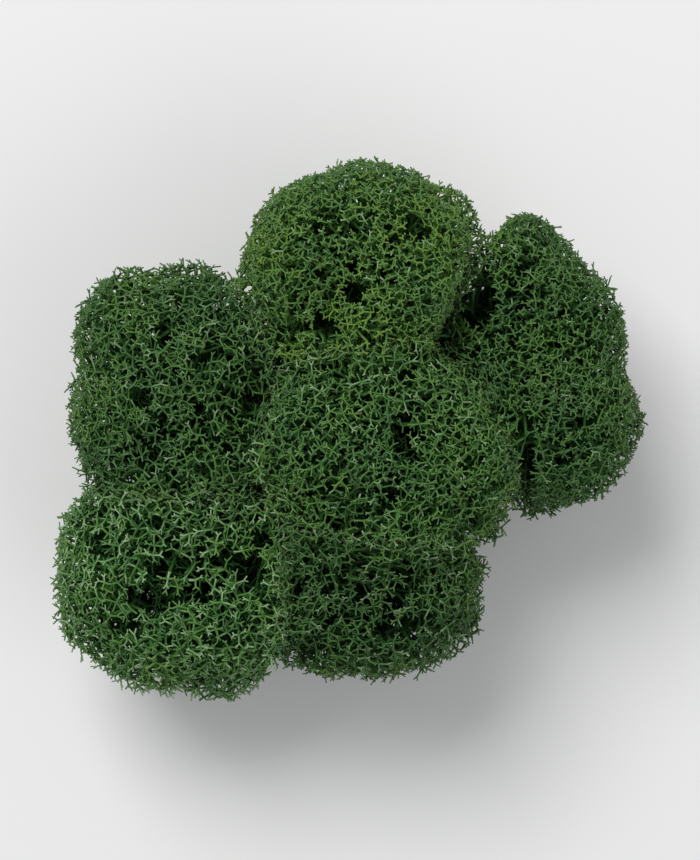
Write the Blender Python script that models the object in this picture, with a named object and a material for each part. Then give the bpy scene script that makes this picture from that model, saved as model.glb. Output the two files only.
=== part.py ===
"""A clump of reindeer lichen, cut flat below so that it stands on its six feet.

Each tuft is one solid: a narrow foot of stalks that widens into a lumpy, rounded head of fine twigs.
The tufts splay outwards from the middle of the clump and press against each other without touching.
Where they meet, their heads rise to the same height, so that they make one cushion with thin creases.
Metres, +Z up. The origin is on the surface that the clump stands on, under the middle of its outline.
"""

from math import atan2, cos, pi, radians, sin, sqrt, tau
from typing import NamedTuple

import bpy
from mathutils import Vector, noise

MM = 0.001
FAR = 1.0

# How the clump as a whole is made, in metres
GAP_BETWEEN_TUFTS = 0.9 * MM
SPLAY_HEIGHT = 34 * MM  # above this the tufts stand straight
FEET_DRAWN_IN = 0.80  # the feet's distance from the middle of the clump, as a share of the heads'
CREASE_ROUNDING = 2.0 * MM  # where a head turns down into the crease beside its neighbour
HEAD_BLEND = 9 * MM  # two heads run together where their heights are this near each other
RIM_FALL = 4  # how steeply a dome is taken to fall away outside its rim
CREASE_WANDER = 2.6 * MM  # how far a crease strays to either side of a straight line
CREASE_WAVE = 26 * MM  # and over what length
CREASE_PASSES = 4  # a crease's stray is read where the tuft reaches it, so it is found step by step
LEAST_FACING = 0.05  # a tuft's side that faces a neighbour less than this never meets it

# The side of a tuft, as shares of its height and of its head's radius
WIDEST_AT = 0.56
FOOT_RADIUS = 0.66
HEAD_ROUNDNESS = 0.74  # 1 gives an ellipsoid, and less a fuller, flatter dome

# The mesh of a tuft
COLUMNS = 40
STALK_RINGS = 6
HEAD_RINGS = 13

# The rounded lobes and small lumps on the heads, and the ridges of stalks below them
LOBE_SIZE = 12.5 * MM  # from one lobe to the next
LOBE_SEED = 23
LOBE = 2.8 * MM
LOBE_SUNK = 0.22  # how far a lobe is sunk into its head, as a share of its height
LOBE_FALL = 2  # how steeply a lobe falls away from its middle
LUMPS_ACROSS_LOBE = 3
SMALL_LUMP = 1.0 * MM
STALK_RIDGE = 2.0 * MM
RIDGES_AROUND = 3.6  # ridges in the width of one lobe, around the tuft
RIDGES_UP = 0.6  # and in the same length up the tuft


class Tuft(NamedTuple):
    """One tuft: where its head is over the clump, and how large it is. Lengths are in millimetres."""

    name: str
    x: float
    y: float
    half_width: float
    half_depth: float
    height: float
    turn: float  # degrees, about its own upright axis
    squareness: float  # of its outline from above: 2 is an oval, and more fills out the corners
    stands_apart: bool  # its head stays lower than its neighbours' where they meet
    colour: tuple
    seed: int


TUFTS = (
    Tuft("tuft_top", 3.2, 26.3, 19.4, 17.6, 52, 0, 2.3, False, (0.040, 0.085, 0.022), 3),
    Tuft("tuft_left", -26.8, 5.8, 16.9, 21.6, 47, 8, 2.6, False, (0.032, 0.068, 0.022), 11),
    Tuft("tuft_middle", 5.9, -2.2, 23.4, 21.8, 52, 20, 2.0, False, (0.036, 0.076, 0.023), 23),
    Tuft("tuft_lower_left", -25.2, -22.0, 20.8, 19.6, 43, -12, 2.5, False, (0.042, 0.078, 0.032), 37),
    Tuft("tuft_lower_right", 3.4, -23.4, 18.8, 14.6, 46, -4, 2.7, False, (0.026, 0.055, 0.018), 41),
    Tuft("tuft_right", 31.6, 12.4, 14.4, 23.8, 44, 14, 3.0, True, (0.030, 0.066, 0.020), 59),
)


def splay(height):
    """How far out a tuft's axis is at this height, as a share of its distance where the heads are."""
    rise = min(max(height / SPLAY_HEIGHT, 0), 1)
    return FEET_DRAWN_IN + (1 - FEET_DRAWN_IN) * rise * rise * (3 - 2 * rise)


def oval_radius(tuft, direction):
    """The plain radius of a tuft's head towards a direction, in metres."""
    angle = direction - radians(tuft.turn)
    wide = abs(cos(angle) / tuft.half_width) ** tuft.squareness
    deep = abs(sin(angle) / tuft.half_depth) ** tuft.squareness
    return MM / (wide + deep) ** (1 / tuft.squareness)


def wander(place, first, second):
    """How far the crease between two tufts strays towards the second of them, at a place."""
    cell = place / CREASE_WAVE + Vector((first.seed, second.seed, 0))
    return CREASE_WANDER * noise.noise(cell)


def room_beside(tuft, other, direction, height):
    """How far a tuft may reach from its axis in a direction before it would meet this neighbour."""
    axis = Vector((tuft.x, tuft.y, 0)) * MM * splay(height)
    apart = Vector((other.x, other.y, 0)) * MM * splay(height) - axis
    across = apart.normalized()
    outwards = Vector((cos(direction), sin(direction), 0))
    facing = across.dot(outwards)
    if facing < LEAST_FACING:
        return FAR
    bearing = atan2(across.y, across.x)
    own = oval_radius(tuft, bearing)
    others = oval_radius(other, bearing + pi)
    straight = apart.length * own / (own + others) - GAP_BETWEEN_TUFTS / 2
    first, second = sorted((tuft, other), key=TUFTS.index)
    towards_second = 1 if first is tuft else -1
    room = straight / facing
    for _ in range(CREASE_PASSES):
        place = axis + outwards * room + Vector((0, 0, height))
        room = (straight + towards_second * wander(place, first, second)) / facing
    return room


def room_towards(tuft, direction, height):
    """How far a tuft may reach from its axis in a direction before it would meet any neighbour."""
    return min(room_beside(tuft, other, direction, height) for other in TUFTS if other is not tuft)


def softer_minimum(a, b, rounding):
    """The smaller of two lengths, less a little where they are nearly the same."""
    nearness = max(rounding - abs(a - b), 0) / rounding
    return min(a, b) - nearness * nearness * rounding / 4


def softer_maximum(a, b, rounding):
    """The larger of two lengths, and a little more where they are nearly the same."""
    return -softer_minimum(-a, -b, rounding)


def dome_height(tuft, spot):
    """The height of a tuft's plain dome over a spot."""
    out = spot - Vector((tuft.x, tuft.y, 0)) * MM
    share = out.length / oval_radius(tuft, atan2(out.y, out.x))
    rim = tuft.height * MM * WIDEST_AT
    if share > 1:
        return rim * max(1 - (share - 1) * RIM_FALL, 0)
    rise = sqrt(1 - share ** (2 / HEAD_ROUNDNESS)) ** HEAD_ROUNDNESS
    return rim + (tuft.height * MM - rim) * rise


def shared_height(spot):
    """The height over a spot of every dome that runs together with its neighbours."""
    height = 0
    for tuft in TUFTS:
        if not tuft.stands_apart:
            height = softer_maximum(height, dome_height(tuft, spot), HEAD_BLEND)
    return height


def run_together(tuft, spot, height):
    """A height on a tuft's head over a spot, stretched so that its dome reaches the shared height."""
    rim = tuft.height * MM * WIDEST_AT
    own = dome_height(tuft, spot)
    if tuft.stands_apart or height <= rim or own <= rim:
        return height
    return rim + (height - rim) * (shared_height(spot) - rim) / (own - rim)


def lumpiness(place):
    """How far the surface of a head stands out at a place, in metres, from its lobes and small lumps."""
    cell = place / LOBE_SIZE + Vector((LOBE_SEED, 0, 0))
    from_lobe = noise.voronoi(cell)[0][0]
    lobe = 1 - LOBE_SUNK - from_lobe * from_lobe * LOBE_FALL
    return LOBE * lobe + SMALL_LUMP * noise.noise(cell * LUMPS_ACROSS_LOBE)


def ridges(direction, height, radius, tuft):
    """How far the stalks stand out at a place below the head, in metres."""
    around = Vector((cos(direction), sin(direction), 0)) * radius * RIDGES_AROUND
    up = Vector((0, 0, height * RIDGES_UP))
    return STALK_RIDGE * noise.noise((around + up) / LOBE_SIZE + Vector((0, tuft.seed, 0)))


def side_of_tuft():
    """The rings from foot to top: (share of the radius, share of the height, share that is head)."""
    for ring in range(STALK_RINGS):
        rise = ring / STALK_RINGS
        swell = rise * rise * (3 - 2 * rise)
        yield FOOT_RADIUS + (1 - FOOT_RADIUS) * swell, WIDEST_AT * rise, swell
    for ring in range(HEAD_RINGS):
        angle = pi / 2 * ring / HEAD_RINGS
        radius = cos(angle) ** HEAD_ROUNDNESS
        height = WIDEST_AT + (1 - WIDEST_AT) * sin(angle) ** HEAD_ROUNDNESS
        yield radius, height, 1


def point_on_tuft(tuft, direction, radius_share, height_share, head_share):
    height = tuft.height * MM * height_share
    radius = oval_radius(tuft, direction) * radius_share
    outwards = Vector((cos(direction), sin(direction), 0))
    axis = Vector((tuft.x, tuft.y, 0)) * MM
    within = softer_minimum(radius, room_towards(tuft, direction, height), CREASE_ROUNDING)
    spot = axis + outwards * within
    height = run_together(tuft, spot, height)
    lump = lumpiness(spot + Vector((0, 0, height))) * head_share
    steepness = max(height_share - WIDEST_AT, 0) / (1 - WIDEST_AT)
    radius += lump * (1 - steepness * steepness)
    radius += ridges(direction, height, radius, tuft) * (1 - head_share)
    height += lump * steepness
    room = room_towards(tuft, direction, height)
    radius = softer_minimum(radius, room, CREASE_ROUNDING)
    place = axis * splay(height) + outwards * radius
    return Vector((place.x, place.y, height))


def tuft_mesh(tuft):
    """The closed surface of a tuft: a flat foot, rings of points up its side, and the top of its head."""
    directions = [tau * column / COLUMNS for column in range(COLUMNS)]
    rings = [[point_on_tuft(tuft, d, *ring) for d in directions] for ring in side_of_tuft()]
    top = point_on_tuft(tuft, 0, 0, 1, 1)
    points = [point for ring in rings for point in ring] + [top]
    faces = [tuple(reversed(range(COLUMNS)))]
    for lower in range(len(rings) - 1):
        for column in range(COLUMNS):
            beside = (column + 1) % COLUMNS
            below = lower * COLUMNS
            above = below + COLUMNS
            faces.append((below + column, below + beside, above + beside, above + column))
    last = (len(rings) - 1) * COLUMNS
    for column in range(COLUMNS):
        faces.append((last + column, last + (column + 1) % COLUMNS, len(points) - 1))
    return points, faces


def lichen_material(tuft):
    material = bpy.data.materials.new(f"{tuft.name}_lichen")
    material.use_nodes = True
    shader = material.node_tree.nodes["Principled BSDF"]
    shader.inputs["Base Color"].default_value = (*tuft.colour, 1)
    shader.inputs["Roughness"].default_value = 0.85
    shader.inputs["Metallic"].default_value = 0.0
    return material


def middle_of(meshes):
    """The middle of the box around every tuft, on the surface that the clump stands on."""
    points = [point for points, _ in meshes for point in points]
    middle_x = (min(p.x for p in points) + max(p.x for p in points)) / 2
    middle_y = (min(p.y for p in points) + max(p.y for p in points)) / 2
    return Vector((middle_x, middle_y, 0))


def build():
    for old in list(bpy.data.objects):
        bpy.data.objects.remove(old)
    meshes = [tuft_mesh(tuft) for tuft in TUFTS]
    middle = middle_of(meshes)
    for tuft, (points, faces) in zip(TUFTS, meshes):
        mesh = bpy.data.meshes.new(tuft.name)
        mesh.from_pydata([point - middle for point in points], [], faces)
        mesh.materials.append(lichen_material(tuft))
        mesh.shade_smooth()
        bpy.context.scene.collection.objects.link(bpy.data.objects.new(tuft.name, mesh))


build()
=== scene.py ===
"""A clump of reindeer lichen, dressed over its six plain tufts.

Every tuft is grown backwards, from its twig tips to its foot. Tips are spread over the tuft's head and
a little way into it. Neighbouring tips share a fork further in, neighbouring forks share a deeper one,
and so on down to the cut stalks. Each tip opens into a star of short prongs, and the stalks carry side
twigs all the way down.
"""

from math import tau
from typing import NamedTuple

import bpy
import numpy as np
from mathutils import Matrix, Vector, noise
from mathutils.bvhtree import BVHTree
from mathutils.kdtree import KDTree


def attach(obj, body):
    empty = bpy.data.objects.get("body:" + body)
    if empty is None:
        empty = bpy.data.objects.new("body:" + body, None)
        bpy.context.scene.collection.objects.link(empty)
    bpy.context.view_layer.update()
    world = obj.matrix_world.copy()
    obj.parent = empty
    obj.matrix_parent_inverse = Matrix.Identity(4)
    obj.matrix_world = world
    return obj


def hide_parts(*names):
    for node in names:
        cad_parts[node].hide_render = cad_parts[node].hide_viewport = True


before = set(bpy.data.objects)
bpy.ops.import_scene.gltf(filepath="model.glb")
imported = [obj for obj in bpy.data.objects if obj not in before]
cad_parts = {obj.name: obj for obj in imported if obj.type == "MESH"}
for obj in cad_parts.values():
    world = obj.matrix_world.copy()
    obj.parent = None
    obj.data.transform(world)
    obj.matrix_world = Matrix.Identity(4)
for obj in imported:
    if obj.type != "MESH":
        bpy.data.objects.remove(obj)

MM = 0.001
UP = np.array((0.0, 0.0, 1.0))
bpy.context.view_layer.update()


class Habit(NamedTuple):
    """How one tuft grows and what its colour is. Lengths are in millimetres."""

    tuft: str
    spacing: float  # between neighbouring tips
    thickness: float  # of its twigs, against the usual
    reach: float  # length of its prongs, against the usual
    forked: float  # share of its prongs that fork once more
    pits: float  # share of its head that is taken up by small dark holes
    fade: float  # how far in its painted shade turns the green dark
    warmth: float  # 0 is blue-green, 1 is yellow-green
    pale: float  # share of its tips that are painted pale, as painted highlights
    brightness: float
    seed: int


HABITS = (
    Habit("top", 1.20, 0.92, 0.84, 0.32, 0.06, 7.5, 0.80, 0.03, 1.04, 101),
    Habit("left", 1.42, 1.00, 1.15, 0.70, 0.20, 4.5, 0.42, 0.10, 0.88, 102),
    Habit("middle", 1.38, 0.98, 1.10, 0.70, 0.15, 4.8, 0.55, 0.10, 1.01, 103),
    Habit("lower_left", 1.55, 1.10, 1.35, 0.80, 0.25, 4.2, 0.40, 0.34, 1.12, 104),
    Habit("lower_right", 1.42, 1.00, 1.15, 0.70, 0.24, 4.0, 0.40, 0.16, 0.74, 105),
    Habit("right", 1.27, 0.95, 0.97, 0.50, 0.10, 5.0, 0.45, 0.05, 0.86, 106),
)
STANDS_APART = "tuft_right"  # the creases beside this one stay open, and elsewhere heads run together


class Hole(NamedTuple):
    """A dark gap between the twigs, seen from above as an oval. Lengths are in millimetres."""

    x: float
    y: float
    half_width: float
    half_length: float
    turn: float  # degrees
    floor: float  # the height above which it is empty


HOLES = (
    Hole(20.6, 20.6, 2.9, 5.2, -14, 26),
    Hole(28.2, -4.5, 1.7, 8.5, 4, 33),
    Hole(-4.2, 16.0, 1.9, 2.4, 0, 38),
    Hole(0.4, 21.8, 1.8, 2.2, 0, 42),
    Hole(-15.6, 9.6, 2.0, 1.8, 0, 38),
    Hole(-24.4, 11.2, 1.8, 1.7, 0, 38),
    Hole(-15.4, -23.6, 3.0, 2.3, 70, 34),
    Hole(-23.8, -26.4, 2.1, 2.1, 0, 35),
    Hole(5.8, -32.0, 2.4, 2.0, 0, 34),
    Hole(7.6, -26.6, 2.1, 1.9, 0, 38),
)


class Forks(NamedTuple):
    """One rank of forks, counted from the tips inwards. Lengths are in millimetres."""

    spread: float  # distance between these forks where they reach the head, against that of tips
    step: float  # least way from here out to the forks or tips that it carries
    radius: float  # of the twigs that start here
    sides: int
    rings: int


FORK_RANKS = (
    Forks(1.5, 1.0, 0.24, 3, 2),
    Forks(2.2, 1.7, 0.29, 3, 3),
    Forks(3.2, 2.8, 0.36, 4, 3),
    Forks(4.4, 4.5, 0.48, 5, 4),
    Forks(5.4, 7.0, 0.64, 5, 5),
)
FOOT_STALK = Forks(5.4, 7.0, 0.84, 6, 6)
STALK_RANKS = 3  # the deepest ranks, whose twigs carry side twigs
LEAST_FORK_SHARE = 0.08  # no fork is nearer the ground than this share of its way up
TWIG_WOBBLE = 0.22  # how far a twig's ends turn aside at random

# The star of prongs at a tip, in millimetres and degrees
PRONGS = (3, 4)
DEEP_PRONGS = (2, 3)
PRONG_LENGTH = 0.95
PRONG_RADII = (0.195, 0.150)
PRONG_SPREAD = (46, 80)
PRONG_VARIETY = (0.65, 1.30)
STAR_VARIETY = (0.70, 1.35)  # the sizes of the stars, against the usual
STAR_RISE = 0.5  # how far a star's middle lies below its tip, against the length of a prong
STAR_TWIST = 0.22  # how far a prong strays to the side, as a share of the way to the next
LAST_FORK_LENGTH = (0.42, 0.80)  # against the length of a prong
LAST_FORK_RADII = (0.150, 0.115)
LAST_FORK_SPREAD = (20, 48)

# Where tips grow: shares of them, and how far in from the surface, in millimetres
CANDIDATES_PER_MM2 = 7
SURFACE_SHARE = 0.76
DEEP_SHARE = 0.06
SURFACE_INSET = (0.0, 0.8)
SHALLOW_INSET = (0.9, 3.0)
DEEP_INSET = (3.0, 7.0)
PIT_SIZE = 3.8
PIT_DEPTH = 4.8
PIT_FACING = 0.45  # the skin has such holes where it faces up by more than this
SPACING_WAVES = 8.0  # patches in which tips stand closer or further apart, and by which share
SPACING_VARIETY = 0.30

# Where a tuft faces a neighbour, its twigs reach into the crease, and only near the top of it
WALL_REACH = 3.0
WALL_SPACING = 1.15
WALL_INSET = (-0.9, 0.6)
WALL_DEPTH = 9.0
DEEP_WALL_DEPTH = 20.0  # and sparse ones down to here, which hide the ground below
DEEP_WALL_SPACING = 1.6
FILL_DEPTH = 4.0  # down to here, tips rise to close the crease between two heads that run together
FILL_INSET = (-0.4, 0.2)
FILL_SUNK = (0.0, 0.8)
CREST_OFFSET = 1.5
SKIRT = 0.1  # just outside the skin, where a look across the gap starts

# The sides are barer towards the foot, as shares of a tuft's height
LEAST_TIP_HEIGHT = 0.07
BARE_BELOW = 0.10
DENSE_ABOVE = 0.68
BARE_SPACING = 2.4
FOOT_SHARE = 0.64  # how far out a stalk stands on the ground, against where its tip is

# Side twigs on the stalks
SIDE_TWIGS_PER_CM3 = 48
SIDE_TWIG_CHOICE = 3  # places tried for each, of which the outer ones are taken first
SIDE_TWIG_ZONE = 7.0  # how far in from the skin those are
SIDE_TWIG_BIAS = 0.7
SIDE_TWIG_LENGTH = (3.2, 6.4)
SIDE_TWIG_RADII = (0.36, 0.22)
SIDE_TWIG_LEAN = 0.7  # how far they lean along their stalk, at most
SIDE_FORKS = 2
SIDE_FORK_LENGTH = (1.6, 2.8)
SIDE_FORK_RADII = (0.22, 0.15)
SIDE_FORK_SPREAD = 0.9
SIDE_TWIG_MARGIN = 0.6
CREASE_MARGIN = -1.8  # between upright walls, side twigs reach out into the crease
CREASE_WIDTH = 3.0
UPRIGHT = 0.4  # a wall whose outward direction rises or falls by less than this is upright
CREASE_SHADE = 4.0  # a side twig in a crease is as dark as one this deep, in millimetres
SIDE_TWIG_SHADE = 2.0

# Colour: patches of tone in millimetres, and how much of a tip's tone is its own
PATCH_SIZE = 9.0
PATCH_SHARE = 0.6
TONE_LIMITS = (0.02, 0.86)
# The tones of tips painted pale, as painted highlights.
PALE_TONE = (0.93, 0.98)
SPOT_SIZE = 0.004


def unit(vectors):
    """The same directions at length 1, for an array whose last axis is x, y, z."""
    return vectors / np.maximum(np.linalg.norm(vectors, axis=-1, keepdims=True), 1e-12)


def across(directions, rng):
    """A random direction square to each of these."""
    return unit(np.cross(directions, rng.normal(size=directions.shape)))


class Surface:
    """A plain tuft's skin as arrays, with soft normals, and a tree that finds what lies near a place."""

    def __init__(self, node):
        mesh = node.data
        mesh.calc_loop_triangles()
        points = np.array([vertex.co for vertex in mesh.vertices])
        triangles = np.array([triangle.vertices for triangle in mesh.loop_triangles])
        self.points, same = np.unique(points.round(6), axis=0, return_inverse=True)
        self.triangles = same.reshape(-1)[triangles]
        corners = self.points[self.triangles]
        square = np.cross(corners[:, 1] - corners[:, 0], corners[:, 2] - corners[:, 0])
        self.normals = np.zeros_like(self.points)
        for corner in range(3):
            np.add.at(self.normals, self.triangles[:, corner], square)
        self.normals = unit(self.normals)
        self.area = np.linalg.norm(square, axis=1) / 2
        self.area[corners[:, :, 2].max(axis=1) < 0.05 * MM] = 0
        self.volume = (corners[:, 0] * square).sum() / 6
        self.low = self.points.min(axis=0)
        self.high = self.points.max(axis=0)
        self.foot = self.points[self.points[:, 2] < 0.05 * MM].mean(axis=0)
        self.tree = BVHTree.FromPolygons(self.points.tolist(), self.triangles.tolist())
        self.sides = BVHTree.FromPolygons(self.points.tolist(), self.triangles[self.area > 0].tolist())

    def scatter(self, rng):
        """Random points all over the skin, foot apart, and the outward direction at each."""
        count = int(self.area.sum() / MM**2 * CANDIDATES_PER_MM2)
        chosen = self.triangles[rng.choice(len(self.area), count, p=self.area / self.area.sum())]
        weights = rng.dirichlet((1, 1, 1), count)[:, :, None]
        return (self.points[chosen] * weights).sum(axis=1), unit((self.normals[chosen] * weights).sum(axis=1))

    def crest_above(self, place):
        """The height of the skin straight above a place, or 0 where there is none."""
        hit = self.tree.ray_cast(Vector((place[0], place[1], self.high[2] + MM)), Vector((0, 0, -1)))[0]
        return hit.z if hit else 0

    def faces_within(self, place, outwards, reach):
        """Whether this skin is met on the way out from a place."""
        return self.tree.ray_cast(Vector(place), Vector(outwards), reach)[0] is not None

    def depth_of(self, points):
        """How deep each point lies inside the skin, less than 0 outside it, and the nearest places on
        the skin with the directions in which they face."""
        depths, places, facings = [], [], []
        for point in points:
            near, normal, _, distance = self.tree.find_nearest(Vector(point))
            inside = (Vector(point) - near).dot(normal) < 0
            depths.append(distance if inside else -distance)
            places.append(near)
            facings.append(normal)
        return np.array(depths), np.array(places), np.array(facings)

    def way_in(self, points):
        """How far each point is from the nearest place on the sides and the top."""
        return np.array([self.sides.find_nearest(Vector(point))[3] for point in points])


def tree_of(points):
    tree = KDTree(len(points))
    for index, point in enumerate(points):
        tree.insert(point, index)
    tree.balance()
    return tree


def spread_out(points, spacing):
    """Which points to keep, so that each kept one has its own spacing to itself."""
    tree = tree_of(points)
    free = np.ones(len(points), bool)
    kept = []
    for index, point in enumerate(points):
        if free[index]:
            kept.append(index)
            for _, near, _ in tree.find_range(point, spacing[index]):
                free[near] = False
    return np.array(kept)


def nearest(points, targets):
    """For each point, the index of the nearest target."""
    tree = tree_of(targets)
    return np.array([tree.find(point)[1] for point in points])


class Twigs(NamedTuple):
    """Bent twigs as arrays, one row for each: its two ends, and how it leaves and arrives at them."""

    start: np.ndarray
    leave: np.ndarray
    end: np.ndarray
    arrive: np.ndarray

    def length(self):
        return np.linalg.norm(self.end - self.start, axis=1)

    def picked(self, rows):
        return Twigs(*(values[rows] for values in self))

    def at(self, share):
        """The points and directions at a share of the way along each, or at a row of shares."""
        s = np.asarray(share)[..., None]
        start, leave, end, arrive = (v[:, None] if s.ndim == 3 else v for v in self)
        points = (
            (2 * s**3 - 3 * s**2 + 1) * start
            + (s**3 - 2 * s**2 + s) * leave
            + (3 * s**2 - 2 * s**3) * end
            + (s**3 - s**2) * arrive
        )
        heading = (
            (6 * s**2 - 6 * s) * (start - end)
            + (3 * s**2 - 4 * s + 1) * leave
            + (3 * s**2 - 2 * s) * arrive
        )
        return points, unit(heading)


class Growth:
    """The mesh of one tuft while it grows: tubes are added to it, and it ends as one object."""

    def __init__(self, habit, rng, skin, others):
        self.habit = habit
        self.rng = rng
        self.skin = skin
        self.others = others
        self.points = []
        self.faces = []
        self.depths = []
        self.tones = []
        self.spots = []
        self.size = 0
        self.pit_edge = -np.inf

    def pitted(self, places, outwards):
        """Which places on top of the skin lie over a small dark hole. The first call sets how many do."""
        hollow = noise_at(places, PIT_SIZE, self.habit.seed)
        if np.isinf(self.pit_edge):
            self.pit_edge = np.quantile(hollow, 1 - self.habit.pits)
        return (hollow > self.pit_edge) & (outwards[:, 2] > PIT_FACING)

    def tubes(self, twigs, radii, sides, rings, depths, tones, grounded=False):
        """Adds a tapering tube along each twig. radii, in millimetres, and depths are each given at the
        start and at the end. Only a grounded tube is closed at its start, the rest start in another."""
        count = len(twigs.start)
        share = np.broadcast_to(np.linspace(0, 1, rings), (count, rings))
        spine, heading = twigs.at(share)
        beside = unit(np.cross(heading, self.rng.normal(size=(count, 1, 3))))
        above = np.cross(heading, beside)
        around = tau * np.arange(sides) / sides
        circle = np.stack([np.cos(around), np.sin(around)], axis=1)
        ring = circle[:, :1] * beside[:, :, None] + circle[:, 1:] * above[:, :, None]
        first, last = (np.broadcast_to(r, count)[:, None] * self.habit.thickness * MM for r in radii)
        radius = first * (1 - share) + last * share
        points = spine[:, :, None] + ring * radius[:, :, None, None]
        depth = depths[0][:, None] * (1 - share) + depths[1][:, None] * share
        faces = [tuple(range(sides))[::-1]] if grounded else []
        for low in range(rings - 1):
            for side in range(sides):
                beyond = (side + 1) % sides
                below, over = low * sides, low * sides + sides
                faces.append((below + side, below + beyond, over + beyond, over + side))
        faces.append(tuple(range((rings - 1) * sides, rings * sides)))
        per_tube = rings * sides
        for face in faces:
            self.faces.append(np.array(face) + self.size + per_tube * np.arange(count)[:, None])
        self.points.append(points.reshape(-1, 3))
        self.depths.append(np.repeat(depth, sides, axis=1).reshape(-1))
        self.tones.append(np.repeat(tones, per_tube))
        self.spots.append(np.tile(circle * SPOT_SIZE, (count * rings, 1)))
        self.size += count * per_tube

    def finish(self, name):
        """The tuft as an object, with how open each point is and its tone kept on it."""
        points = np.concatenate(self.points)
        points[:, 2] = np.maximum(points[:, 2], 0)
        lengths = np.concatenate([np.full(len(f), f.shape[1]) for f in self.faces])
        corners = np.concatenate([f.reshape(-1) for f in self.faces])
        mesh = bpy.data.meshes.new(name)
        mesh.vertices.add(len(points))
        mesh.vertices.foreach_set("co", points.reshape(-1))
        mesh.loops.add(len(corners))
        mesh.loops.foreach_set("vertex_index", corners)
        mesh.polygons.add(len(lengths))
        mesh.polygons.foreach_set("loop_start", np.cumsum(lengths) - lengths)
        mesh.update(calc_edges=True)
        mesh.shade_smooth()
        # Painted shade: the deeper a point lies, the less open it is, and the darker the material paints it.
        openness = np.exp(-np.concatenate(self.depths) / (self.habit.fade * MM))
        tone = np.concatenate(self.tones)
        for label, values in (("openness", openness), ("tone", tone)):
            mesh.attributes.new(label, "FLOAT", "POINT").data.foreach_set("value", values)
        spots = np.stack([openness, tone], axis=1) + np.concatenate(self.spots)
        mesh.uv_layers.new(name="OFBake").uv.foreach_set("vector", spots.clip(0, 1)[corners].reshape(-1))
        made = bpy.data.objects.new(name, mesh)
        bpy.context.scene.collection.objects.link(made)
        return made


def noise_at(points, size, seed):
    """Smooth noise from about -1 to 1, whose waves have this size in millimetres."""
    return np.array([noise.noise(Vector(p) / (size * MM) + Vector((seed, 0, 0))) for p in points])


def in_hole(points):
    """Which points lie in one of the dark gaps."""
    inside = np.zeros(len(points), bool)
    for hole in HOLES:
        east, north = points[:, 0] / MM - hole.x, points[:, 1] / MM - hole.y
        turn = np.radians(hole.turn)
        wide = (east * np.cos(turn) + north * np.sin(turn)) / hole.half_width
        long = (north * np.cos(turn) - east * np.sin(turn)) / hole.half_length
        inside |= (wide**2 + long**2 < 1) & (points[:, 2] > hole.floor * MM)
    return inside


def faces_any(skins, places, outwards):
    """Which places on a skin face one of these other skins across a narrow gap."""
    return np.array([
        any(skin.faces_within(place, way, WALL_REACH * MM) for skin in skins)
        for place, way in zip(places, outwards)
    ])


def tips_of(growth, joined):
    """Where a tuft's twigs end, which way each points, and how far in it lies. joined are the other
    skins whose heads run together with this one's."""
    skin, habit, rng = growth.skin, growth.habit, growth.rng
    points, outwards = skin.scatter(rng)
    count = len(points)
    kind = rng.random(count)
    inset = rng.uniform(*SURFACE_INSET, count)
    shallow = kind > SURFACE_SHARE
    deep = kind > 1 - DEEP_SHARE
    inset[shallow] = rng.uniform(*SHALLOW_INSET, shallow.sum())
    inset[deep] = rng.uniform(*DEEP_INSET, deep.sum())
    inset[growth.pitted(points, outwards)] += PIT_DEPTH

    skirt = points + outwards * SKIRT * MM
    walled = faces_any(growth.others, skirt, outwards)
    inset[walled] = rng.uniform(*WALL_INSET, walled.sum())
    crest = np.array([skin.crest_above(p) for p in points - outwards * CREST_OFFSET * MM])
    sunk = crest - points[:, 2]
    deep_wall = walled & (sunk > WALL_DEPTH * MM)
    buried = deep_wall & (sunk > DEEP_WALL_DEPTH * MM)
    risen = walled & (sunk > 0) & (sunk < FILL_DEPTH * MM)
    risen[risen] = faces_any(joined, skirt[risen], outwards[risen])
    inset[risen] = rng.uniform(*FILL_INSET, risen.sum())

    height = points[:, 2] / skin.high[2]
    bareness = 1 - np.clip((height - BARE_BELOW) / (DENSE_ABOVE - BARE_BELOW), 0, 1)
    spacing = habit.spacing * MM * (1 + walled * (WALL_SPACING - 1)) * (1 + bareness * (BARE_SPACING - 1))
    spacing *= 1 + SPACING_VARIETY * noise_at(points, SPACING_WAVES, habit.seed)
    spacing[deep_wall] *= DEEP_WALL_SPACING
    tips = points - outwards * inset[:, None] * MM
    tips[risen, 2] = crest[risen] - rng.uniform(*FILL_SUNK, risen.sum()) * MM
    outwards[risen] = unit(outwards[risen] + UP * 2)
    able = np.flatnonzero(~buried & (height > LEAST_TIP_HEIGHT) & ~in_hole(tips))
    kept = able[spread_out(tips[able], spacing[able])]
    return tips[kept], outwards[kept], np.maximum(inset[kept], 0) * MM


def tones_at(tips, growth):
    """The tone of each tip, from its patch of the head and from itself."""
    habit, rng = growth.habit, growth.rng
    patch = 0.5 + 0.5 * noise_at(tips, PATCH_SIZE, habit.seed)
    return np.clip(PATCH_SHARE * patch + (1 - PATCH_SHARE) * rng.random(len(tips)), *TONE_LIMITS)


def paths_to(tips, outwards, skin):
    """The way from the ground to each tip, which leaves the ground upright."""
    middle = (skin.low + skin.high) / 2
    start = skin.foot + (tips - middle) * (FOOT_SHARE, FOOT_SHARE, 0)
    start[:, 2] = 0
    length = np.linalg.norm(tips - start, axis=1, keepdims=True)
    return Twigs(start, UP * length, tips, outwards * length * 0.8)


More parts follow.
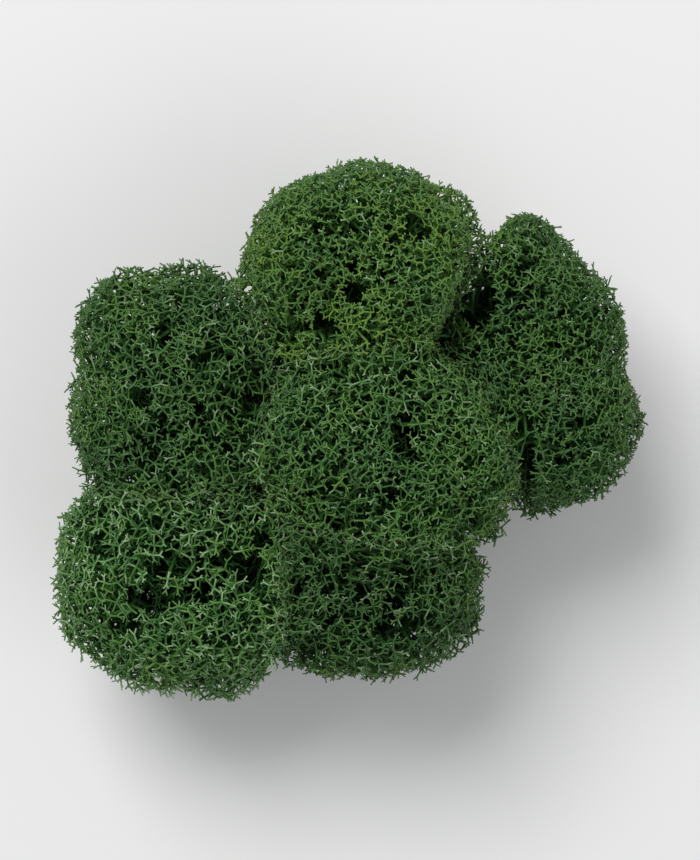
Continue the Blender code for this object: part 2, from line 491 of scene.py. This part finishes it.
def grow(habit, skins):
    """One tuft, as a mesh of forked twigs in the place of its plain solid."""
    rng = np.random.default_rng(habit.seed)
    name = f"tuft_{habit.tuft}"
    skin = skins[name]
    others = {key: other for key, other in skins.items() if key != name}
    joined = [other for key, other in others.items() if STANDS_APART not in (key, name)]
    growth = Growth(habit, rng, skin, list(others.values()))
    tips, outwards, inset = tips_of(growth, joined)
    paths = paths_to(tips, outwards, skin)
    length = paths.length()
    tone = tones_at(tips, growth)

    who = np.arange(len(tips))
    share = 1 - STAR_RISE * PRONG_LENGTH * habit.reach * MM / length
    here, heading = paths.at(share)
    grow_prongs(growth, here, heading, inset, tone)

    radius = np.full(len(who), PRONG_RADII[0])
    stalks = []
    for rank in FORK_RANKS:
        chosen = spread_out(tips[who], np.full(len(who), habit.spacing * rank.spread * MM))
        parent = nearest(tips[who], tips[who[chosen]])
        fork_share = np.ones(len(chosen))
        np.minimum.at(fork_share, parent, share - rank.step * MM / length[who])
        fork_share = np.maximum(fork_share, LEAST_FORK_SHARE)
        forks = who[chosen]
        fork_here, fork_heading = paths.picked(forks).at(fork_share)
        stalks.append(join(growth, fork_here[parent], fork_heading[parent], here, heading, rank,
                           radius, tone[who]))
        who, share, here, heading = forks, fork_share, fork_here, fork_heading
        radius = np.full(len(who), rank.radius)
    feet, upwards = paths.picked(who).at(np.zeros(len(who)))
    stalks.append(join(growth, feet, upwards, here, heading, FOOT_STALK, radius, tone[who], True))
    grow_side_twigs(growth, stalks[-STALK_RANKS:])
    return growth.finish(f"twigs_{habit.tuft}")


def join(growth, start, start_heading, end, end_heading, rank, end_radius, tones, grounded=False):
    """Twigs from forks, or from the ground, out to the forks or tips that they carry."""
    way = end - start
    length = np.linalg.norm(way, axis=1, keepdims=True)
    straight = unit(way)
    wobble = growth.rng.normal(scale=TWIG_WOBBLE, size=(2,) + way.shape)
    leave = unit(start_heading * 0.4 + straight * 0.7 + wobble[0]) * length
    arrive = unit(end_heading * 0.6 + straight * 0.5 + wobble[1]) * length
    twigs = Twigs(start, UP * length if grounded else leave, end, arrive)
    # How far in each end lies, which sets its painted shade.
    depths = (growth.skin.way_in(start), growth.skin.way_in(end))
    growth.tubes(twigs, (rank.radius, end_radius), rank.sides, rank.rings, depths, tones, grounded)
    return twigs


def grow_prongs(growth, here, heading, inset, tone):
    """The star of short prongs that each tip opens into, with fewer where it lies deep."""
    rng = growth.rng
    counts = rng.integers(PRONGS[0], PRONGS[1] + 1, len(here))
    deep = inset > SURFACE_INSET[1] * MM
    counts[deep] = rng.integers(DEEP_PRONGS[0], DEEP_PRONGS[1] + 1, deep.sum())
    owner = np.repeat(np.arange(len(here)), counts)
    place = np.arange(len(owner)) - np.repeat(np.cumsum(counts) - counts, counts)
    beside = across(heading, rng)
    above = np.cross(heading, beside)
    strayed = place + rng.uniform(-STAR_TWIST, STAR_TWIST, len(owner))
    turn = tau * strayed / counts[owner]
    tilt = np.radians(rng.uniform(*PRONG_SPREAD, len(owner)))
    radial = np.cos(turn)[:, None] * beside[owner] + np.sin(turn)[:, None] * above[owner]
    way = np.cos(tilt)[:, None] * heading[owner] + np.sin(tilt)[:, None] * radial
    usual = PRONG_LENGTH * growth.habit.reach * MM * rng.uniform(*STAR_VARIETY, len(here))
    length = (usual[owner] * rng.uniform(*PRONG_VARIETY, len(owner)))[:, None]
    start = here[owner]
    twigs = Twigs(start, way * length, start + way * length, way * length)
    depths = (inset[owner] + length[:, 0], inset[owner])
    tone = tone[owner]
    # Painted highlights: some prongs get a pale tone.
    painted_highlight_tips = rng.random(len(owner)) < growth.habit.pale
    tone[painted_highlight_tips] = rng.uniform(*PALE_TONE, painted_highlight_tips.sum())
    growth.tubes(twigs, PRONG_RADII, 3, 2, depths, tone)

    forked = rng.random(len(owner)) < growth.habit.forked
    owner, tone, way, length = owner[forked], tone[forked], way[forked], length[forked]
    fork = twigs.end[forked]
    sideways = unit(np.cross(way, heading[owner] + rng.normal(scale=0.35, size=way.shape)))
    for hand in (-1, 1):
        angle = hand * np.radians(rng.uniform(*LAST_FORK_SPREAD, (len(owner), 1)))
        ahead = np.cos(angle) * way + np.sin(angle) * sideways
        reach = length * rng.uniform(*LAST_FORK_LENGTH, (len(owner), 1))
        ends = Twigs(fork, ahead * reach, fork + ahead * reach, ahead * reach)
        growth.tubes(ends, LAST_FORK_RADII, 3, 2, (inset[owner], inset[owner]), tone)


def grow_side_twigs(growth, stalks):
    """Forked side twigs all the way down the stalks, which fill the tuft and mingle in the creases."""
    rng = growth.rng
    stalks = Twigs(*(np.concatenate(rows) for rows in zip(*stalks)))
    count = int(growth.skin.volume / (10 * MM) ** 3 * SIDE_TWIGS_PER_CM3)
    length = stalks.length()
    bearers = stalks.picked(rng.choice(len(length), count * SIDE_TWIG_CHOICE, p=length / length.sum()))
    here, heading = bearers.at(rng.uniform(0.05, 0.95, count * SIDE_TWIG_CHOICE))
    depth = growth.skin.depth_of(here)[0]
    outer = np.argsort((depth > SIDE_TWIG_ZONE * MM) * SIDE_TWIG_BIAS + rng.random(len(depth)))[:count]
    here, heading = here[outer], heading[outer]
    way = unit(across(heading, rng) + heading * rng.uniform(0, SIDE_TWIG_LEAN, (count, 1)))
    reach = rng.uniform(*SIDE_TWIG_LENGTH, (count, 1)) * MM
    twigs = Twigs(here, way * reach, here + way * reach, unit(way + UP * 0.5) * reach)
    tips, tip_heading = side_branches(growth, twigs, SIDE_TWIG_RADII, 3)
    for _ in range(SIDE_FORKS):
        forked = unit(tip_heading + across(tip_heading, rng) * SIDE_FORK_SPREAD)
        reach = rng.uniform(*SIDE_FORK_LENGTH, (len(tips), 1)) * MM
        forks = Twigs(tips, forked * reach, tips + forked * reach, forked * reach)
        side_branches(growth, forks, SIDE_FORK_RADII, 2)


def side_branches(growth, twigs, radii, rings):
    """Adds those of the twigs that end inside the tuft, clear of its small holes, or in a crease, and
    gives their ends and directions."""
    depth, places, facings = growth.skin.depth_of(twigs.end)
    inside = depth > SIDE_TWIG_MARGIN * MM
    inside &= ~(growth.pitted(places, facings) & (depth < PIT_DEPTH * MM))
    in_crease = ~inside & (depth > CREASE_MARGIN * MM) & (np.abs(facings[:, 2]) < UPRIGHT)
    for row in np.flatnonzero(in_crease):
        room = CREASE_WIDTH * MM + depth[row]
        end = Vector(twigs.end[row])
        in_crease[row] = any(other.tree.find_nearest(end, room)[0] for other in growth.others)
    kept = (inside | in_crease) & ~in_hole(twigs.end)
    # Painted shade: side twigs start darker at their stalks, and those in a crease are painted as dark as
    # twigs CREASE_SHADE deep.
    twigs, depth = twigs.picked(kept), np.maximum(depth[kept], CREASE_SHADE * MM * in_crease[kept])
    tones = growth.rng.uniform(*TONE_LIMITS, len(depth))
    growth.tubes(twigs, radii, 3, rings, (depth + SIDE_TWIG_SHADE * MM, depth), tones)
    return twigs.at(np.ones(len(depth)))


class Wire:
    """A shader socket that can be used in sums, so that a material reads as arithmetic."""

    def __init__(self, shader, socket):
        self.shader = shader
        self.socket = socket

    def _math(self, operation, first, second):
        return self.shader.node("ShaderNodeMath", {"operation": operation}, {0: first, 1: second})

    def __add__(self, other):
        return self._math("ADD", self, other)

    def __sub__(self, other):
        return self._math("SUBTRACT", self, other)

    def __rsub__(self, other):
        return self._math("SUBTRACT", other, self)

    def __mul__(self, other):
        return self._math("MULTIPLY", self, other)

    __radd__ = __add__
    __rmul__ = __mul__


class Shader:
    """A material's node tree, with one way to add any node."""

    def __init__(self, name):
        self.material = bpy.data.materials.new(name)
        self.material.use_nodes = True
        self.nodes = self.material.node_tree.nodes
        self.links = self.material.node_tree.links
        self.principled = self.nodes["Principled BSDF"]

    def node(self, kind, settings, inputs, output=0):
        """Adds a node: its settings are set first, then the values or links of its sockets."""
        made = self.nodes.new(kind)
        for setting, value in settings.items():
            if setting == "stops":
                self._set_stops(made.color_ramp, value)
            else:
                setattr(made, setting, value)
        for socket, value in inputs.items():
            if isinstance(value, Wire):
                self.links.new(value.socket, made.inputs[socket])
            else:
                made.inputs[socket].default_value = value
        return Wire(self, made.outputs[output])

    def _set_stops(self, ramp, stops):
        while len(ramp.elements) < len(stops):
            ramp.elements.new(0.5)
        for element, (position, colour) in zip(ramp.elements, stops):
            element.position = position
            element.color = (*colour, 1)

    def attribute(self, name):
        return self.node("ShaderNodeAttribute", {"attribute_name": name}, {}, "Fac")

    def ramp(self, value, stops):
        return self.node("ShaderNodeValToRGB", {"stops": stops}, {"Fac": value})

    def mix(self, factor, first, second, blend="MIX"):
        """Mixes two colours, or multiplies them. The sockets of this node go by number: 0 is the factor,
        6 and 7 are its colours, and output 2 is the mixed colour."""
        settings = {"data_type": "RGBA", "blend_type": blend}
        return self.node("ShaderNodeMix", settings, {0: factor, 6: first, 7: second}, 2)

    def grey(self, level):
        return self.node("ShaderNodeCombineColor", {}, {"Red": level, "Green": level, "Blue": level})

    def feed(self, **wires):
        for socket, wire in wires.items():
            self.links.new(wire.socket, self.principled.inputs[socket.replace("_", " ")])

    def set(self, **values):
        for socket, value in values.items():
            self.principled.inputs[socket.replace("_", " ")].default_value = value


def lichen(habit):
    """Dyed lichen with painted shade and painted highlights: near black deep inside, green where the light
    reaches, palest at the tips.
    """
    shader = Shader(f"lichen_{habit.tuft}")
    openness = shader.attribute("openness")
    tone = shader.attribute("tone")
    # Painted shade: the green darkens to near black as openness falls with depth.
    green = shader.ramp(openness, (
        (0.00, (0.002, 0.010, 0.001)),
        (0.25, (0.007, 0.040, 0.005)),
        (0.55, (0.027, 0.088, 0.019)),
        (0.82, (0.053, 0.134, 0.038)),
        (1.00, (0.088, 0.178, 0.066)),
    ))
    cool = Vector((0.84, 0.97, 1.02))
    warm = cool.lerp(Vector((1.30, 1.06, 0.34)), 0.30 + 0.70 * habit.warmth)
    # The last stop, for pale tones, makes the painted highlights on some tips.
    tint = shader.ramp(tone, (
        (0.00, cool),
        (TONE_LIMITS[1], warm),
        (PALE_TONE[0], (1.75, 1.30, 1.75)),
    ))
    tinted = shader.mix(1.0, green, tint, "MULTIPLY")
    level = (tone * 0.6 + 0.70) * habit.brightness
    shader.feed(Base_Color=shader.mix(1.0, tinted, shader.grey(level), "MULTIPLY"))
    shader.feed(Roughness=0.84 - openness * 0.20)
    shader.set(Specular_IOR_Level=0.20)
    return shader.material


def floor():
    """A plain pale floor."""
    bpy.ops.mesh.primitive_plane_add(size=8, location=(0, 0, -0.2 * MM))
    plane = bpy.context.object
    plane.name = "floor"
    shader = Shader("floor_paint")
    shader.set(Base_Color=(0.62, 0.62, 0.61, 1), Roughness=0.9)
    plane.data.materials.append(shader.material)


def lamp(name, place, aim, size, power):
    """A soft square lamp that faces a point."""
    light = bpy.data.lights.new(name, "AREA")
    light.size = size
    light.energy = power
    made = bpy.data.objects.new(name, light)
    made.location = place
    made.rotation_euler = (Vector(aim) - Vector(place)).to_track_quat("-Z", "Y").to_euler()
    bpy.context.scene.collection.objects.link(made)


def studio():
    """Soft light from above and to the left, and the camera straight above the clump."""
    floor()
    lamp("key_light", (-0.35, 0.55, 0.95), (0, 0, 0.02), 0.6, 12.5)
    lamp("fill_light", (0.7, -0.5, 0.8), (0, 0, 0.02), 0.9, 4)
    world = bpy.data.worlds.new("pale_room")
    world.use_nodes = True
    world.node_tree.nodes["Background"].inputs["Color"].default_value = (0.95, 0.97, 1.0, 1)
    world.node_tree.nodes["Background"].inputs["Strength"].default_value = 0.50
    bpy.context.scene.world = world
    bpy.context.scene.view_settings.view_transform = "Standard"
    camera = bpy.data.cameras.new("camera")
    camera.lens = 180
    camera.sensor_fit = "HORIZONTAL"
    made = bpy.data.objects.new("camera", camera)
    made.location = (0, 0, 0.60)
    bpy.context.scene.collection.objects.link(made)
    bpy.context.scene.camera = made


def dress():
    """Grows every tuft in the place of its plain solid."""
    skins = {name: Surface(node) for name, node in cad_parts.items()}
    for habit in HABITS:
        tuft = grow(habit, skins)
        tuft.data.materials.append(lichen(habit))
        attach(tuft, "root")
        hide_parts(f"tuft_{habit.tuft}")


studio()
dress()
